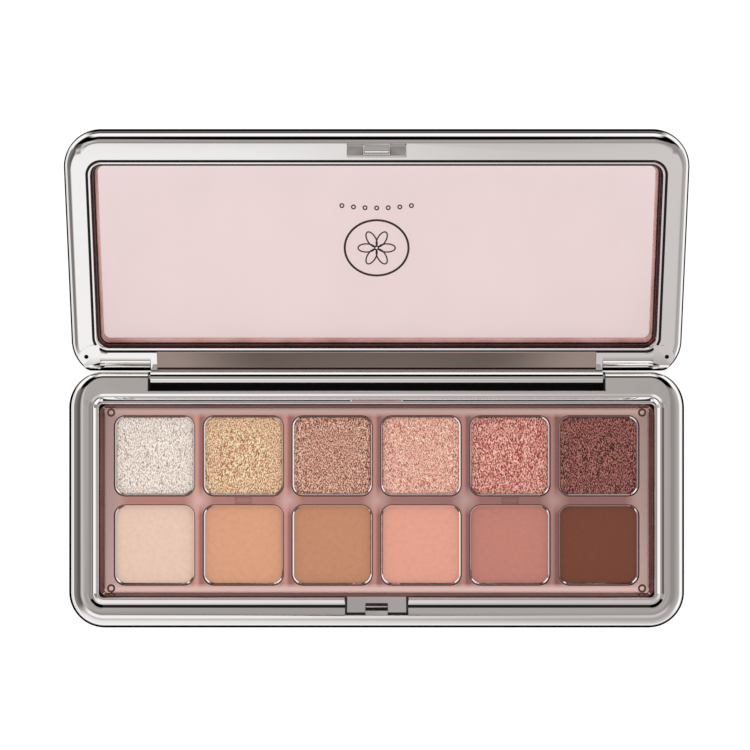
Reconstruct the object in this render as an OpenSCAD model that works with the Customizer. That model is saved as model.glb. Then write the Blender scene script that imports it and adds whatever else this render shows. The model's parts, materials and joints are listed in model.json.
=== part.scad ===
// Eyeshadow palette: a slim clamshell case with twelve square pans and a clear window in its lid.
// The origin is the middle of the base's underside, +X runs along the case, +Y towards the hinge
// and +Z up. The lid's parts are drawn closed and then turned open about the hinge.

/* [Case] */
// Width of the base
case_w = 140; // [138:0.5:144]
// Depth of the base, front to back
case_d = 58.2; // [58:0.2:60]
// Radius of the case's corners, seen from above
corner_r = 8.2; // [8:0.1:8.6]
// Height of the flat band around the base's rim
band_z = 8.6; // [8.6:0.1:9.6]
// Rise of the inner lip over that band
lip_rise = 0.6; // [0.5:0.05:0.8]
// Radius of the rounding along the base's outer top edge
base_round = 3; // [1.6:0.1:3.4]
// Thickness of the cover plate under the base
cover_t = 1.4; // [1.2:0.1:1.8]

/* [Lid] */
// Step from the base's outline in to the lid's, at the sides
lid_inset = 0.6; // [0.4:0.05:1]
// Step from the base's outline in to the lid's, at the front
lid_inset_front = 1.2; // [0.8:0.05:1.3]
// Thickness of the closed lid
lid_h = 5.2; // [4.8:0.1:5.4]
// Gap between the base's lip and the closed lid
lid_gap = 0.15; // [0.1:0.05:0.3]
// Angle between the closed and the open lid
lid_open = 163; // [90:1:163]
// Thickness of the window's clear plate
window_t = 0.8; // [0.6:0.1:1]
// Width of the frame beside the window
frame_w = 6.2; // [6:0.1:6.6]
// Extra width of the frame in front of the window and behind it
frame_extra = 1.35; // [0.8:0.05:1.5]

/* [Hinge] */
// Distance from the base's back edge in to the hinge axis
axis_in = 1.2; // [1.2:0.1:1.5]
// Depth of the hinge axis under the band
axis_drop = 1.4; // [1.4:0.1:1.8]
// Radius of the lid's hinge barrel
barrel_r = 1.75; // [1.5:0.05:1.8]
// Length of the hinge barrel
barrel_len = 102.2; // [90:0.2:104]
// Length of the base's notch for the barrel
notch_len = 103.4; // [91.2:0.2:105.2]
// Radius of the two hinge pins
pin_r = 0.6; // [0.5:0.05:0.7]
// Radial clearance of a pin in the barrel
pin_play = 0.05; // [0.02:0.01:0.08]

/* [Pans] */
// Columns of pans
columns = 6; // [6]
// Spacing of the pans along the case
pitch_x = 20.12; // [20.05:0.01:20.2]
// Spacing of the two rows of pans
pitch_y = 20.2; // [20.1:0.05:20.4]
// Side of a square pocket in the tray
pocket = 18.4; // [18.2:0.1:18.6]
// Corner radius of a pocket
pocket_r = 2.8; // [2:0.1:3.4]
// Gap around a pan in its pocket
pan_gap = 0.1; // [0.08:0.01:0.2]
// Wall and floor thickness of a pan
pan_t = 0.35; // [0.3:0.05:0.5]
// Height of a pan
pan_h = 4.6; // [4:0.1:4.8]

/* [Latch] */
// Width of the recess in the base's front lip
recess_w = 14.2; // [13.8:0.2:16]
// Width of the lid's hook
hook_w = 13.2; // [11:0.2:13.2]
// Width of the catch nub in the recess
nub_w = 5.1; // [4:0.1:6]

/* [Hidden] */
half_w = case_w / 2;
half_d = case_d / 2;
lip_z = band_z + lip_rise;
well_in = 7.3;
well_w = case_w - 2 * well_in;
well_d = case_d - 2 * well_in;
well_r = 2;

axis_y = half_d - axis_in;
axis_z = band_z - axis_drop;
lid_z = lip_z + lid_gap;
lid_top = lid_z + lid_h;
lid_w = case_w - 2 * lid_inset;
lid_front = lid_inset_front - half_d;
lid_back = half_d;
lid_d = lid_back - lid_front;
lid_mid_y = (lid_back + lid_front) / 2;
lid_corner_r = corner_r + 0.3;
back_gap = 0.3;

tray_bottom = cover_t;
tray_z = 7.75;
tray_rim_z = lip_z - 0.4;
tray_play = 0.1;
tray_floor = 1.0;
pocket_floor_z = tray_bottom + tray_floor;
pad_t = 0.15;
pan_bottom = pocket_floor_z + pad_t;
pan_side = pocket - 2 * pan_gap;
pan_top = pan_bottom + pan_h;
powder_play = 0.02;
matte_drop = 0.3;

mark_out_r = 0.95;
mark_in_r = 0.5;
mark_depth = 0.3;
mark_x = 60.1;
mark_y = 19.9;
vent_w = 3.8;
vent_d = 1.3;
vent_x = 30.2;

recess_front = half_d - 3.2;
recess_floor = 5.7;
hook_front = 25.2;
hook_t = 2.6;
hook_drop = 2.9;
slot_w = nub_w + 0.6;
slot_d = 1.75;
nub_back = 23.85;
nub_z = band_z - 0.6;
bead_r = 0.2;
bead_gap = 0.05;

web_reach = 1.62;
web_rise = 1.4;
band_len = barrel_len - 2.4;
band_reach = 5.7;
band_tilt = 4;
heel_r = 4.5;
heel_from = barrel_len / 2 + 0.25;
relief_x = 64.1;
relief_y = 3.05;
relief_r = 3.8;
relief_depth = 0.6;
dimple_x = 66;
dimple_y = 4;

stand_off = axis_in + back_gap;
heel_angle = 270 - lid_open;

arc_steps = 8;
$fn = 64;

COUNT = columns * 2;

SHADES = [
    [0.90, 0.84, 0.79], [0.87, 0.68, 0.51], [0.69, 0.52, 0.46],
    [0.88, 0.66, 0.59], [0.85, 0.52, 0.47], [0.48, 0.30, 0.26],
    [0.90, 0.78, 0.70], [0.86, 0.63, 0.50], [0.77, 0.54, 0.41],
    [0.89, 0.63, 0.55], [0.75, 0.50, 0.44], [0.46, 0.28, 0.22],
];

// Points along an arc about (x, y), from angle a to angle b
function arc(x, y, r, a, b) =
    [for (i = [0 : arc_steps]) [x + r * cos(a + (b - a) * i / arc_steps),
                                y + r * sin(a + (b - a) * i / arc_steps)]];

// Middle of pan i, counted along the back row first and then the front row
function pan_x(i) = ((i - 1) % columns - (columns - 1) / 2) * pitch_x;
function pan_y(i) = (i <= columns ? 0.5 : -0.5) * pitch_y;

// A flat rounded rectangle, w by d, about the origin
module rounded(w, d, r) {
    union() {
        square([w - 2 * r, d], center = true);
        square([w, d - 2 * r], center = true);
        for (x = [-1, 1], y = [-1, 1])
            translate([x * (w / 2 - r), y * (d / 2 - r)]) circle(r);
    }
}

// A rounded slab from height z to height z + h
module slab(w, d, r, z, h) {
    translate([0, 0, z]) linear_extrude(h) rounded(w, d, r);
}

// Sweeps a profile around a rounded rectangle; the profile's x is the distance in from the outline
module ring(w, d, r) {
    for (side = [-1, 1]) {
        translate([side * w / 2, 0, 0])
            rotate([90, 0, side > 0 ? 180 : 0])
                linear_extrude(d - 2 * r, center = true) children();
        translate([0, side * d / 2, 0])
            rotate([90, 0, side > 0 ? -90 : 90])
                linear_extrude(w - 2 * r, center = true) children();
    }
    corners = [[1, 1, 0], [-1, 1, 90], [-1, -1, 180], [1, -1, 270]];
    for (c = corners)
        translate([c[0] * (w / 2 - r), c[1] * (d / 2 - r), 0])
            rotate([0, 0, c[2]])
                rotate_extrude(angle = 90) translate([r, 0]) mirror([1, 0]) children();
}

// A cylinder along X about the point (y, z), from x0 to x1
module rod(x0, x1, y, z, r) {
    translate([x0, y, z]) rotate([0, 90, 0]) cylinder(h = x1 - x0, r = r);
}

// Turns what is drawn closed about the hinge to the open lid's place
module opened() {
    translate([0, axis_y, axis_z])
        rotate([-lid_open, 0, 0])
            translate([0, -axis_y, -axis_z]) children();
}

// Half section of the base's rim, from the outer wall in to the well
module base_profile() {
    polygon(concat(
        [[1.2, 0], [0, 1.2]],
        arc(base_round, band_z - base_round, base_round, 180, 90),
        [[4.85, band_z], [5.5, band_z - 0.27], [5.75, band_z - 0.22],
         [6.45, lip_z - 0.07], [6.6, lip_z], [7.05, lip_z], [well_in, lip_z - 0.2],
         [well_in, 0], [2.2, 0]]
    ));
}

// Half section of the lid's frame, closed, from the outer wall in to the window
module lid_profile() {
    seat_z = lid_top - 0.6;
    polygon(concat(
        arc(2.3, lid_z + 2.3, 2.3, 270, 180),
        arc(2.4, lid_top - 2.4, 2.4, 180, 90),
        [[frame_w + 0.8, lid_top], [frame_w + 0.8, seat_z], [frame_w, seat_z],
         [frame_w, lid_z + 1.2], [frame_w - 0.1, lid_z + 0.2], [frame_w - 0.3, lid_z]]
    ));
}

module base_shell() {
    color([0.70, 0.67, 0.65]) difference() {
        union() {
            ring(case_w, case_d, corner_r) base_profile();
            for (x = [-1, 1], y = [-1, 1]) well_corner(x, y);
        }
        cover_seat();
        hinge_notch();
        latch_recess();
        for (s = [-1, 1]) pin_bore(s);
    }
    color([0.70, 0.67, 0.65]) catch_nub();
}

// Fills a corner of the well up to the well's own radius
module well_corner(x, y) {
    side = well_r + 0.2;
    translate([x * (well_w / 2 - well_r), y * (well_d / 2 - well_r), cover_t]) difference() {
        translate([x > 0 ? 0 : -side, y > 0 ? 0 : -side, 0])
            cube([side, side, lip_z - 0.2 - cover_t]);
        translate([0, 0, -1]) cylinder(h = 12, r = well_r);
    }
}

// Room under the base for the cover plate, and the hollow in the rim over it
module cover_seat() {
    slab(case_w - 4.2, case_d - 4.2, corner_r - 2.1, -1, cover_t + 1);
    difference() {
        slab(case_w - 4.2, case_d - 4.2, corner_r - 2.1, 0, 4.6);
        slab(case_w - 11.6, case_d - 11.6, corner_r - 5.8, -1, 8);
        translate([-half_w, half_d - 10, -1]) cube([case_w, 12, 8]);
    }
}

// The notch in the back of the rim that the hinge barrel turns in
module hinge_notch() {
    translate([-notch_len / 2, axis_y - 3.1, axis_z - 3.1]) cube([notch_len, 10, 10]);
}

// The pocket in the front lip that takes the lid's hook
module latch_recess() {
    translate([-recess_w / 2, -recess_front, recess_floor])
        cube([recess_w, recess_front - (half_d - well_in) + 1, 10]);
}

// The catch in the middle of the recess, with a small bead that the hook's bead passes with bead_gap to spare
module catch_nub() {
    translate([-nub_w / 2, -recess_front - 0.5, recess_floor - 0.5])
        cube([nub_w, recess_front + 0.5 - nub_back, nub_z - recess_floor + 0.5]);
    rod(-nub_w / 2, nub_w / 2, -nub_back, nub_z - 0.7, bead_r);
}

// The blind hole in the base that a hinge pin is pressed in
module pin_bore(side) {
    rod(side > 0 ? notch_len / 2 - 1 : -notch_len / 2 - 8,
        side > 0 ? notch_len / 2 + 8 : -notch_len / 2 + 1, axis_y, axis_z, pin_r);
}

module base_cover() {
    color([0.66, 0.63, 0.61]) slab(case_w - 4.4, case_d - 4.4, corner_r - 2.2, 0, cover_t);
}

module pan_tray() {
    outer_w = well_w - 2 * tray_play;
    outer_d = well_d - 2 * tray_play;
    color([0.72, 0.55, 0.52, 0.9]) difference() {
        slab(outer_w, outer_d, well_r - tray_play, tray_bottom, tray_rim_z - tray_bottom);
        slab(outer_w - 2.6, outer_d - 2.2, 1.6, tray_z, 5);
        for (i = [1 : COUNT])
            translate([pan_x(i), pan_y(i), 0]) slab(pocket, pocket, pocket_r, pocket_floor_z, 10);
        for (x = [-1, 1], y = [-1, 1])
            translate([x * mark_x, y * mark_y, tray_z - mark_depth]) ring_mark();
        for (x = [-1, 1])
            translate([x * vent_x - vent_w / 2, -vent_d / 2, tray_z - 1.2]) cube([vent_w, vent_d, 3]);
    }
}

// A small round witness mark in the tray's face
module ring_mark() {
    difference() {
        cylinder(h = 2, r = mark_out_r);
        translate([0, 0, -1]) cylinder(h = 1 + mark_depth, r = mark_in_r);
    }
}

module pan_adhesive() {
    color([0.93, 0.91, 0.86])
        for (i = [1 : COUNT])
            translate([pan_x(i), pan_y(i), pocket_floor_z]) cylinder(h = pad_t, r = 5);
}

module pan(i) {
    inner = pan_side - 2 * pan_t;
    color([0.86, 0.85, 0.84]) translate([pan_x(i), pan_y(i), 0]) difference() {
        slab(pan_side, pan_side, pocket_r - pan_gap, pan_bottom, pan_h);
        slab(inner, inner, pocket_r - pan_gap - pan_t, pan_bottom + pan_t, pan_h);
    }
}

module powder(i) {
    side = pan_side - 2 * pan_t - 2 * powder_play;
    top = pan_top - (i > columns ? matte_drop : 0.1);
    bottom = pan_bottom + pan_t;
    r = pocket_r - pan_gap - pan_t - powder_play;
    color(SHADES[i - 1]) translate([pan_x(i), pan_y(i), 0]) union() {
        slab(side, side, r, bottom, top - 0.3 - bottom);
        slab(side - 0.5, side - 0.5, r - 0.25, bottom, top - bottom);
    }
}

module hinge_pin(side) {
    inner = barrel_len / 2 - 5;
    outer = notch_len / 2 + 7.8;
    color([0.60, 0.60, 0.62])
        rod(side > 0 ? inner : -outer, side > 0 ? outer : -inner, axis_y, axis_z, pin_r);
}

module lid_frame() {
    color([0.78, 0.75, 0.72]) opened() union() {
        difference() {
            union() {
                translate([0, lid_mid_y, 0]) ring(lid_w, lid_d, lid_corner_r) lid_profile();
                for (s = [-1, 1]) frame_bar(s);
            }
            back_clearance();
            hinge_band();
            for (s = [-1, 1]) heel_round(s);
            for (s = [-1, 1]) corner_relief(s);
        }
        difference() {
            hinge_web();
            for (s = [-1, 1]) barrel_bore(s);
        }
        hook();
    }
}

// Widens the frame in front of the window or behind it
module frame_bar(side) {
    bar_w = lid_w - 2 * frame_w + 1;
    flange_w = lid_w - 2 * frame_w - 1.2;
    y = lid_mid_y + side * (lid_d / 2 - frame_w);
    translate([-bar_w / 2, side > 0 ? y - frame_extra : y - 0.5, lid_z])
        cube([bar_w, frame_extra + 0.5, lid_h - 0.6]);
    translate([-flange_w / 2, side > 0 ? y - frame_extra - 0.8 : y - 0.4, lid_top - 0.6])
        cube([flange_w, frame_extra + 1.2, 0.6]);
}

// The lower band in the frame's face beside the barrel, nearly level when the lid is open
module hinge_band() {
    edge_z = (stand_off * sin(lid_open) - (lid_z - axis_z)) / -cos(lid_open);
    translate([0, axis_y, axis_z]) rotate([lid_open, 0, 0])
        translate([-band_len / 2, stand_off, edge_z]) rotate([-band_tilt, 0, 0])
            translate([0, -1, 0]) cube([band_len, band_reach - stand_off + 1, 6]);
}

// The barrel on the hinge axis and the web that joins it to the frame
module hinge_web() {
    rod(-barrel_len / 2, barrel_len / 2, axis_y, axis_z, barrel_r);
    inner_z = lid_z - axis_z;
    translate([-barrel_len / 2, axis_y, axis_z]) rotate([90, 0, 90]) linear_extrude(barrel_len)
        polygon([[-barrel_r, 0], [-web_reach, inner_z], [-web_reach, inner_z + web_rise],
                 [-0.75, inner_z + web_rise], [0.45, barrel_r * 0.96], [0, 0]]);
}

// Cuts the frame's back face so that it stands just behind the base when the lid is open
module back_clearance() {
    translate([0, axis_y, axis_z]) rotate([lid_open, 0, 0])
        translate([-half_w - 1, stand_off - 12, -10]) cube([case_w + 2, 12, 14]);
}

// Rounds the edge between the frame's face and its back face, beside one end of the barrel
module heel_round(side) {
    face = [cos(lid_open), -sin(lid_open)];
    inner_z = lid_z - axis_z;
    edge = [stand_off, (inner_z - stand_off * sin(lid_open)) / cos(lid_open)];
    reach = heel_r * tan((180 - heel_angle) / 2);
    middle = [stand_off + heel_r, edge[1] - reach];
    along = edge - reach * face;
    translate([0, axis_y, axis_z]) rotate([lid_open, 0, 0])
        translate([side > 0 ? heel_from : -half_w - 1, 0, 0])
            rotate([90, 0, 90]) linear_extrude(half_w + 1 - heel_from) difference() {
                polygon([edge + [-1, 1], along + [-0.3, 1], along, middle,
                         [stand_off, middle[1]], [stand_off - 1, middle[1]]]);
                translate(middle) circle(heel_r);
            }
}

// The running bore for a hinge pin in one end of the barrel
module barrel_bore(side) {
    inner = barrel_len / 2 - 5.4;
    outer = barrel_len / 2 + 1;
    rod(side > 0 ? inner : -outer, side > 0 ? outer : -inner, axis_y, axis_z, pin_r + pin_play);
}

// The lower round step in the frame's face at each hinge-side corner
module corner_relief(side) {
    intersection() {
        translate([side * relief_x, axis_y - relief_y, lid_z - 1])
            cylinder(h = 1 + relief_depth, r = relief_r);
        translate([side * (relief_x + 4) - 5.2, axis_y - 10, lid_z - 1]) cube([10.4, 20, 4]);
    }
    translate([side * dimple_x, axis_y - dimple_y, lid_z - 1]) cylinder(h = 2.4, r = 0.5);
}

// The hook on the frame's front rim: a block with a slot that closes over the catch nub
module hook() {
    difference() {
        translate([-hook_w / 2, -hook_front, lid_z - hook_drop])
            cube([hook_w, hook_t, hook_drop + 1]);
        translate([-slot_w / 2, -hook_front - 1, lid_z - hook_drop - 1])
            cube([slot_w, slot_d + 1, hook_drop + 1 - 0.3]);
    }
    rod(-slot_w / 2, slot_w / 2, -hook_front + slot_d, nub_z - 1.25, bead_r - bead_gap);
}

module lid_window() {
    play = 0.05;
    outer_w = lid_w - 2 * frame_w - 2 * play;
    outer_d = lid_d - 2 * frame_w - 2 * frame_extra - 2 * play;
    outer_r = lid_corner_r - frame_w - play;
    wall_z = lid_z + 1.5;
    step_z = lid_top - 0.6 - play;
    color([0.93, 0.80, 0.79, 0.45]) opened() translate([0, lid_mid_y, 0]) union() {
        slab(outer_w, outer_d, outer_r, lid_top - window_t, step_z - lid_top + window_t);
        slab(outer_w - 1.6, outer_d - 1.6, outer_r - 0.8, lid_top - window_t, window_t);
        difference() {
            slab(outer_w, outer_d, outer_r, wall_z, lid_top - window_t - wall_z);
            slab(outer_w - 1.3, outer_d - 1.3, outer_r - 0.6, wall_z - 1, lid_h);
        }
    }
}

base_shell();
base_cover();
pan_tray();
pan_adhesive();
hinge_pin(-1);  // hinge_pin_left
hinge_pin(1);  // hinge_pin_right
lid_frame();
lid_window();
for (i = [1 : COUNT]) pan(i);
for (i = [1 : COUNT]) powder(i);
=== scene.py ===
"""Looks for the eyeshadow palette: a metallised clamshell case with twelve pressed powders in a rose
tray, and a rose window in its lid. Everything is in metres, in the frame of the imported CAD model."""

import json
import math
import random

import bmesh
import bpy
from mathutils import Matrix, Vector


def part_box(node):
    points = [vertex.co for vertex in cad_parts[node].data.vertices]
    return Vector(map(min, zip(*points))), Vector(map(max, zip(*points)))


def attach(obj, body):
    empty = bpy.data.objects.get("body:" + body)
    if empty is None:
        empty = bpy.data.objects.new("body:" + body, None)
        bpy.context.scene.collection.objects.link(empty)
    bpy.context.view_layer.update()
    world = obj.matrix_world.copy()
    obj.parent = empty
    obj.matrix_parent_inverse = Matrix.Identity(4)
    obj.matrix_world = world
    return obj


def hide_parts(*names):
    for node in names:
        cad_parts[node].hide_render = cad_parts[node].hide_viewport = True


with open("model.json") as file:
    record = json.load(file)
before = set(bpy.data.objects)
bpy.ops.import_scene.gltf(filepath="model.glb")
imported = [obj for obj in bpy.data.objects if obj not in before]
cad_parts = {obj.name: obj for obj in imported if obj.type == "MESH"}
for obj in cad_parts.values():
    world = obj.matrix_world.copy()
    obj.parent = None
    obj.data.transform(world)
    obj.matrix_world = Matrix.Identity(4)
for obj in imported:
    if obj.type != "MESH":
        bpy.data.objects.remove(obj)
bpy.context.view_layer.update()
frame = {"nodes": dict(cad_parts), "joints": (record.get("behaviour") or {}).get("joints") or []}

MM = 0.001
COLUMNS = 6
PANS = 12


def node_box(name):
    """Lowest and highest corner of a CAD node, in millimetres."""
    low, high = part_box(name)
    return low / MM, high / MM


# ---------------------------------------------------------------- sizes, in millimetres

SHELL_LOW, SHELL_HIGH = node_box("base_shell")
CASE_W = SHELL_HIGH.x - SHELL_LOW.x
CASE_D = SHELL_HIGH.y - SHELL_LOW.y
CORNER_R = 8.2
RIM_R = 3.75  # rounding of the rim's outside, at the front and the sides
RIM_R_LESS = 2.3  # how much tighter it is along the back
LIP_Z = SHELL_HIGH.z  # top of the raised lip
BAND_Z = LIP_Z - 0.6  # the flat band outside the lip
WELL_IN = 7.3  # from the outside in to the wall round the tray
COVER_IN = 2.0  # edge of the room for the cover plate underneath
COVER_TOP = 1.4

HINGE = frame["joints"][0]
AXIS_Y = HINGE["pos_m"][1] / MM
AXIS_Z = HINGE["pos_m"][2] / MM
LID_OPEN = math.radians(HINGE["range_deg"][1])

LID_GAP = 0.15  # between the base's lip and the closed lid
LID_Z = LIP_Z + LID_GAP
LID_H = 5.2
LID_TOP = LID_Z + LID_H
LID_W = CASE_W - 1.2
LID_FRONT = 1.2 - CASE_D / 2
LID_BACK = CASE_D / 2
LID_D = LID_BACK - LID_FRONT
LID_MID_Y = (LID_BACK + LID_FRONT) / 2
LID_CORNER_R = CORNER_R + 0.3
FRAME_W = 6.2
FRAME_EXTRA = 1.35  # added to the frame's width in front of the window and behind it
BARREL_R = 1.75
BARREL_HALF = 51.1
NOTCH_HALF = 51.7
NOTCH_REACH = 3.1  # from the hinge axis to the notch's front and floor
STAND_OFF = CASE_D / 2 - AXIS_Y + 0.3  # from the axis to the open lid's back face

WINDOW_GAP = 0.1
PLATE_Z = LID_TOP - 0.8  # inner face of the window's plate, closed
PRINT_Y = -0.6
PRINT_LIFT = 0.012

PIN_LOW, PIN_HIGH = node_box("hinge_pin_right")
PIN_R = (PIN_HIGH.z - PIN_LOW.z) / 2
PIN_PLAY = 0.05

RECESS_Z = 5.7
RECESS_BACK = -21.0
NUB_HALF = 2.55
NUB_FOOT = 5.2
# Below NUB_DARK_Z the nub gets the near-black painted shade.
NUB_DARK_Z = 7.55  # the nub's faces below this height are dark
HOOK_HALF = 6.6
HOOK_FRONT = -25.2
HOOK_BACK = -22.6
HOOK_SLOT_HALF = 2.85

STEP_X = 64.1  # the round step at each hinge-side corner of the lid's face
STEP_R = 3.8
DIMPLE_X = 66.0
DIMPLE_R = 0.5

TRAY_LOW, TRAY_HIGH = node_box("pan_tray")
TRAY_Z = 7.75
PITCH_X = 20.12
PITCH_Y = 20.2
POCKET = 18.4
POCKET_R = 2.6
POWDER_R = 2.2
MARK_X, MARK_Y = 60.1, 19.9  # the four round marks
MARK_IN, MARK_OUT = 0.5, 0.95
SLOT_X = 30.2  # the two small slots in the middle bar
SLOT_HALF_X, SLOT_HALF_Y = 1.9, 0.75


# ---------------------------------------------------------------- mesh helpers

CRISP_ANGLE = 30
MERGE_DISTANCE = 0.002


def link(name, bm, smooth=True):
    """Turns a bmesh in millimetres into an object in metres."""
    bmesh.ops.recalc_face_normals(bm, faces=bm.faces)
    bmesh.ops.scale(bm, vec=(MM, MM, MM), verts=bm.verts)
    mesh = bpy.data.meshes.new(name)
    bm.to_mesh(mesh)
    bm.free()
    obj = bpy.data.objects.new(name, mesh)
    bpy.context.scene.collection.objects.link(obj)
    if smooth:
        mesh.shade_smooth()
    return obj


def angles(steps):
    """Evenly spaced angles round a circle."""
    return [2 * math.pi * i / steps for i in range(steps)]


def arc(x, y, r, start, end, steps):
    """Points on an arc about (x, y), from angle start to angle end, in degrees."""
    angles = [math.radians(start + (end - start) * i / steps) for i in range(steps + 1)]
    return [(x + r * math.cos(a), y + r * math.sin(a)) for a in angles]


def rounded_outline(w, d, r, corner_steps=12, middle=(0, 0)):
    """Stations round a rounded rectangle: (x, y, outward x, outward y), counterclockwise."""
    stations = []
    for cx, cy, start in ((1, 1, 0), (-1, 1, 90), (-1, -1, 180), (1, -1, 270)):
        for i in range(corner_steps + 1):
            a = math.radians(start + 90 * i / corner_steps)
            nx, ny = math.cos(a), math.sin(a)
            x = middle[0] + cx * (w / 2 - r) + r * nx
            y = middle[1] + cy * (d / 2 - r) + r * ny
            stations.append((x, y, nx, ny))
    return stations


def bridge_rings(bm, rings, closed=True, second=()):
    """Quads between neighbouring rings of vertices, and from the last to the first if closed.
    The profile segments in second, counted back from the end, get the second material."""
    pairs = list(zip(rings, rings[1:]))
    if closed:
        pairs.append((rings[-1], rings[0]))
    for a, b in pairs:
        for i in range(len(a)):
            j = (i + 1) % len(a)
            face = bm.faces.new((a[i], a[j], b[j], b[i]))
            face.material_index = int(i - len(a) in second)


def sweep_ring(bm, stations, profile_at, second=()):
    """Sweeps a closed profile round the stations. profile_at gives (distance in, height) points."""
    rings = []
    for x, y, nx, ny in stations:
        points = profile_at(nx, ny)
        rings.append([bm.verts.new((x - nx * t, y - ny * t, z)) for t, z in points])
    bridge_rings(bm, rings, second=second)


def fill_rings(bm, rings):
    """A solid: bridges the rings in order and caps both ends."""
    bridge_rings(bm, rings, closed=False)
    bm.faces.new(list(reversed(rings[0])))
    bm.faces.new(rings[-1])


def loft(bm, levels, w, d, r, corner_steps, middle=(0, 0)):
    """A closed stack of rounded rectangles. Each level is (inset, height)."""
    rings = []
    for inset, z in levels:
        corner_r = max(r - inset, 0.05)
        outline = rounded_outline(w - 2 * inset, d - 2 * inset, corner_r, corner_steps, middle)
        rings.append([bm.verts.new((x, y, z)) for x, y, _, _ in outline])
    fill_rings(bm, rings)


def add_box(bm, low, high):
    """A box between two corners."""
    xs, ys, zs = zip(low, high)
    verts = [bm.verts.new((x, y, z)) for x in xs for y in ys for z in zs]
    for f in ((0, 1, 3, 2), (4, 6, 7, 5), (0, 4, 5, 1), (2, 3, 7, 6), (0, 2, 6, 4), (1, 5, 7, 3)):
        bm.faces.new([verts[i] for i in f])


def add_prism(bm, outline, x0, x1):
    """Extrudes a (y, z) outline along X."""
    fill_rings(bm, [[bm.verts.new((x, y, z)) for y, z in outline] for x in (x0, x1)])


def circle(bm, x, y, z, r, steps):
    """A level ring of vertices."""
    return [bm.verts.new((x + r * math.cos(a), y + r * math.sin(a), z)) for a in angles(steps)]


def add_disc(bm, x, y, z0, z1, r, steps):
    """An upright cylinder."""
    fill_rings(bm, [circle(bm, x, y, z, r, steps) for z in (z0, z1)])


def add_tube(bm, x, y, z0, z1, r_in, r_out, steps=32):
    """A closed upright tube."""
    corners = ((r_out, z0), (r_out, z1), (r_in, z1), (r_in, z0))
    bridge_rings(bm, [circle(bm, x, y, z, r, steps) for r, z in corners])


def cutter(build, *materials, pick=None):
    """A hidden object for a boolean, made by build(bm). pick(face) says which material a face gets."""
    bm = bmesh.new()
    build(bm)
    obj = link("cutter", bm, smooth=False)
    assign(obj, *materials)
    if pick:
        paint(obj, pick)
    return obj


def paint(obj, pick):
    """Gives each face the material with the number that pick(face) returns."""
    for face in obj.data.polygons:
        face.material_index = int(pick(face))


def boolean(obj, other, operation="DIFFERENCE"):
    """Applies a boolean with another object and removes that object."""
    m = obj.modifiers.new("cut", "BOOLEAN")
    m.operation = operation
    m.solver = "EXACT"
    m.material_mode = "TRANSFER"
    m.object = other
    apply_modifiers(obj)
    bpy.data.objects.remove(other)


def apply_modifiers(obj):
    """Replaces the mesh with its evaluated one."""
    dg = bpy.context.evaluated_depsgraph_get()
    mesh = bpy.data.meshes.new_from_object(obj.evaluated_get(dg))
    obj.modifiers.clear()
    old = obj.data
    obj.data = mesh
    bpy.data.meshes.remove(old)


def soften(obj, width, segments=2, angle=38):
    """Bevels the edges sharper than angle, unless width is 0, and shades the rest smooth."""
    if width:
        m = obj.modifiers.new("edges", "BEVEL")
        m.width = width * MM
        m.segments = segments
        m.limit_method = "ANGLE"
        m.angle_limit = math.radians(angle)
        m.harden_normals = False
        m.use_clamp_overlap = True
        apply_modifiers(obj)
    obj.data.shade_smooth()
    obj.data.set_sharp_from_angle(angle=math.radians(CRISP_ANGLE))
    m = obj.modifiers.new("normals", "WEIGHTED_NORMAL")
    m.keep_sharp = True
    m.weight = 60
    apply_modifiers(obj)


def tidy_mesh(obj):
    """Merges doubled points that a boolean leaves."""
    bm = bmesh.new()
    bm.from_mesh(obj.data)
    bmesh.ops.remove_doubles(bm, verts=bm.verts, dist=MERGE_DISTANCE * MM)
    bmesh.ops.dissolve_degenerate(bm, edges=bm.edges, dist=MERGE_DISTANCE * MM)
    bmesh.ops.recalc_face_normals(bm, faces=bm.faces)
    bm.to_mesh(obj.data)
    bm.free()


OPEN_TURN = (
    Matrix.Translation(Vector((0, AXIS_Y, AXIS_Z)) * MM)
    @ Matrix.Rotation(-LID_OPEN, 4, "X")
    @ Matrix.Translation(Vector((0, -AXIS_Y, -AXIS_Z)) * MM)
)


def open_lid(obj):
    """Turns a piece made in the closed lid's place to the open lid's."""
    obj.data.transform(OPEN_TURN)
    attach(obj, "lid")
    return obj


# ---------------------------------------------------------------- materials


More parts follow.
